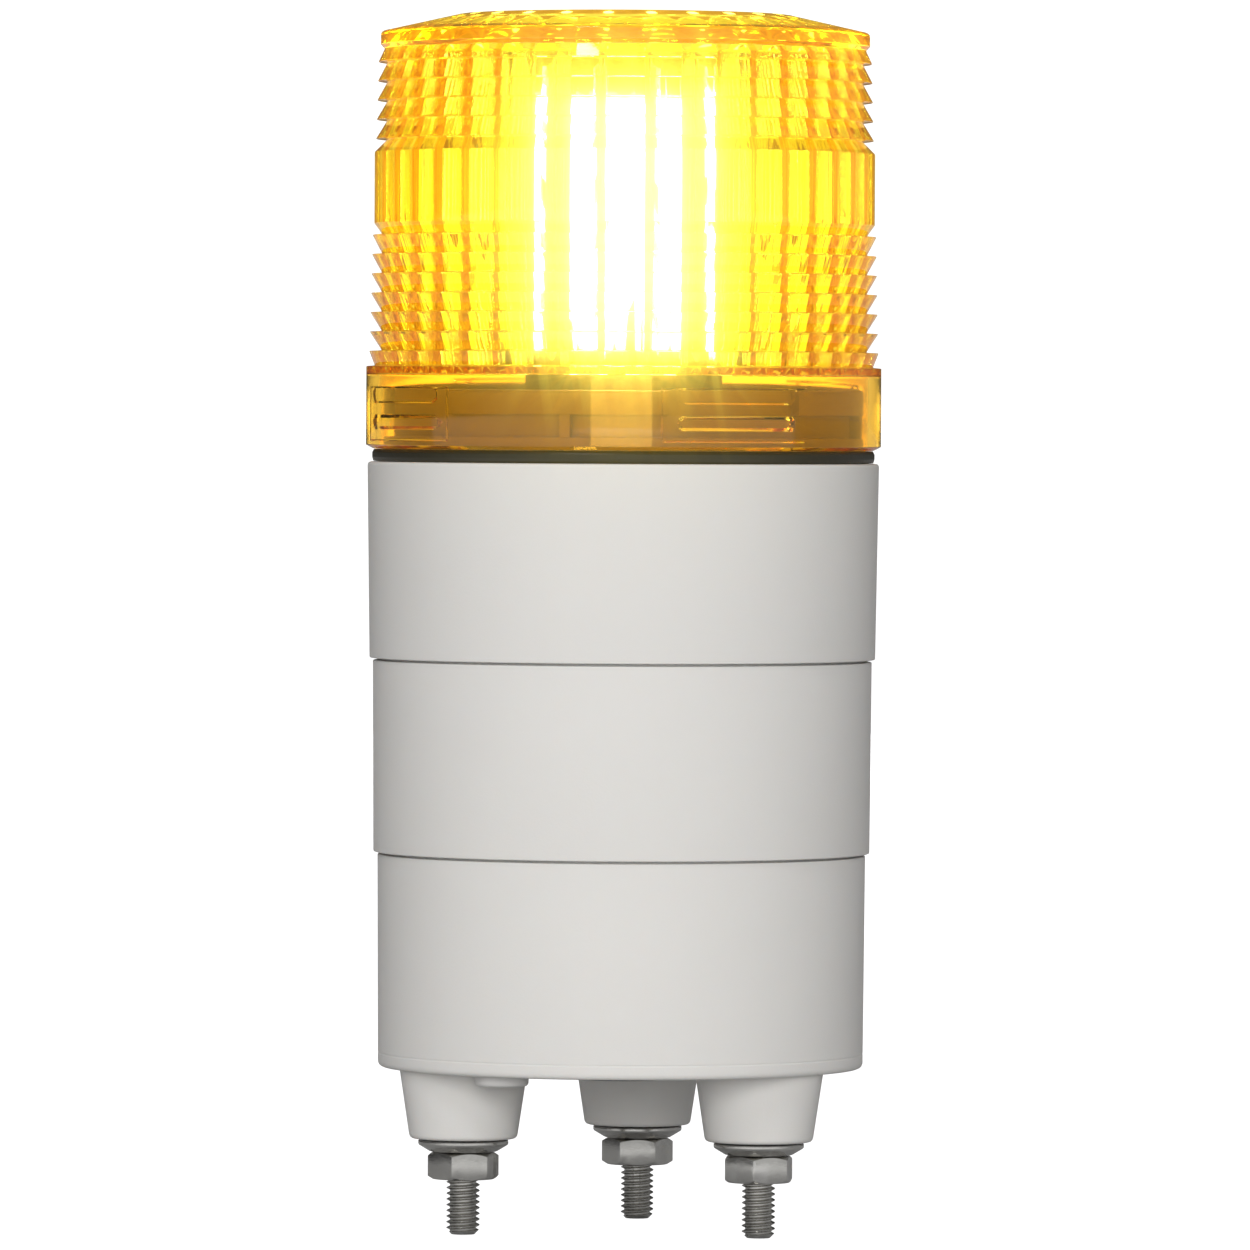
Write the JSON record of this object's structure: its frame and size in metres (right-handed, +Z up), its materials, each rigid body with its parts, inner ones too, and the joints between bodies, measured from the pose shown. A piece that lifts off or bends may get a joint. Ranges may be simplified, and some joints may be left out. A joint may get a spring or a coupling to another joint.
{
  "type": "led signal beacon",
  "caption": "Small stepped round signal beacon with a sealed amber globe on a bayonet, held to a panel by studs.",
  "frame": {"origin": "centre of the stud circle, on the plane of the foot bosses' ends, which is the panel's face", "axes": "+Z up the housing to the globe's crown, against the studs; one stud lies on +Y, and the vent plug is towards -X and -Y"},
  "size_m": [0.0452, 0.0452, 0.1071],
  "materials": {
    "housing_plastic": "fine moulded texture, satin",
    "amber_lens": "clear moulded amber, polished, ringed outside and fluted inside",
    "clear_lens": "clear, polished",
    "black_rubber": "matt moulded rubber",
    "vent_plastic": "satin",
    "bright_metal": "bright zinc plated steel",
    "black_plastic": "satin",
    "white_board": "white solder mask",
    "led_phosphor": "silicone over phosphor, lit",
    "green_board": "green solder mask",
    "ferrite": "dull ferrite and varnished winding",
    "can_sleeve": "shrunk plastic sleeve",
    "terminal_green": "moulded plastic",
    "wire_red": "wire insulation",
    "wire_black": "wire insulation"
  },
  "bodies": {
    "housing": {"case_lower": "housing_plastic", "case_middle": "housing_plastic", "case_upper": "housing_plastic", "lamp_holder": "housing_plastic", "light_tube": "clear_lens", "cable_grommet": "black_rubber", "vent_plug": "vent_plastic", "stud_1": "bright_metal", "stud_2": "bright_metal", "stud_3": "bright_metal", "holder_screw_1": "bright_metal", "holder_screw_2": "bright_metal", "holder_screw_3": "bright_metal", "board_screw_1": "bright_metal", "board_screw_2": "bright_metal", "board_screw_3": "bright_metal", "tower_socket": "black_plastic", "lamp_board": "white_board", "tower_cap": "white_board", "led_board_front": "white_board", "led_board_right": "white_board", "led_board_back": "white_board", "led_board_left": "white_board", "led_front_1": "led_phosphor", "led_front_2": "led_phosphor", "led_front_3": "led_phosphor", "led_right_1": "led_phosphor", "led_right_2": "led_phosphor", "led_right_3": "led_phosphor", "led_back_1": "led_phosphor", "led_back_2": "led_phosphor", "led_back_3": "led_phosphor", "led_left_1": "led_phosphor", "led_left_2": "led_phosphor", "led_left_3": "led_phosphor", "power_board": "green_board", "transformer": "ferrite", "capacitor_large": "can_sleeve", "capacitor_small": "can_sleeve", "terminal_block": "terminal_green", "lead_positive": "wire_red", "lead_negative": "wire_black"},
    "seal": {"seal_ring": "black_rubber"},
    "globe": {"globe": "amber_lens"},
    "washer_1": {"washer_1": "bright_metal"},
    "nut_1": {"nut_1": "bright_metal"},
    "washer_2": {"washer_2": "bright_metal"},
    "nut_2": {"nut_2": "bright_metal"},
    "washer_3": {"washer_3": "bright_metal"},
    "nut_3": {"nut_3": "bright_metal"}
  },
  "joints": [
    {"name": "globe_lift", "type": "slide", "parent": "housing", "child": "seal", "axis": [0, 0, 1], "range_m": [0, 0.045]},
    {"name": "globe_twist", "type": "hinge", "parent": "seal", "child": "globe", "pos_m": [0, 0, 0.06], "axis": [0, 0, 1], "range_deg": [-22, 0]},
    {"name": "nut_1_travel", "type": "slide", "parent": "housing", "child": "washer_1", "axis": [0, 0, -1], "range_m": [0, 0.005]},
    {"name": "nut_1_spin", "type": "hinge", "parent": "washer_1", "child": "nut_1", "pos_m": [-0.01299, -0.0075, -0.0024], "axis": [0, 0, -1], "range_deg": [0, 3600]},
    {"name": "nut_2_travel", "type": "slide", "parent": "housing", "child": "washer_2", "axis": [0, 0, -1], "range_m": [0, 0.005]},
    {"name": "nut_2_spin", "type": "hinge", "parent": "washer_2", "child": "nut_2", "pos_m": [0.01299, -0.0075, -0.0024], "axis": [0, 0, -1], "range_deg": [0, 3600]},
    {"name": "nut_3_travel", "type": "slide", "parent": "housing", "child": "washer_3", "axis": [0, 0, -1], "range_m": [0, 0.005]},
    {"name": "nut_3_spin", "type": "hinge", "parent": "washer_3", "child": "nut_3", "pos_m": [0, 0.015, -0.0024], "axis": [0, 0, -1], "range_deg": [0, 3600]}
  ],
  "couplings": [
    {"joint": "nut_1_spin", "follows": "nut_1_travel", "rad_per_m": 12566},
    {"joint": "nut_2_spin", "follows": "nut_2_travel", "rad_per_m": 12566},
    {"joint": "nut_3_spin", "follows": "nut_3_travel", "rad_per_m": 12566}
  ]
}
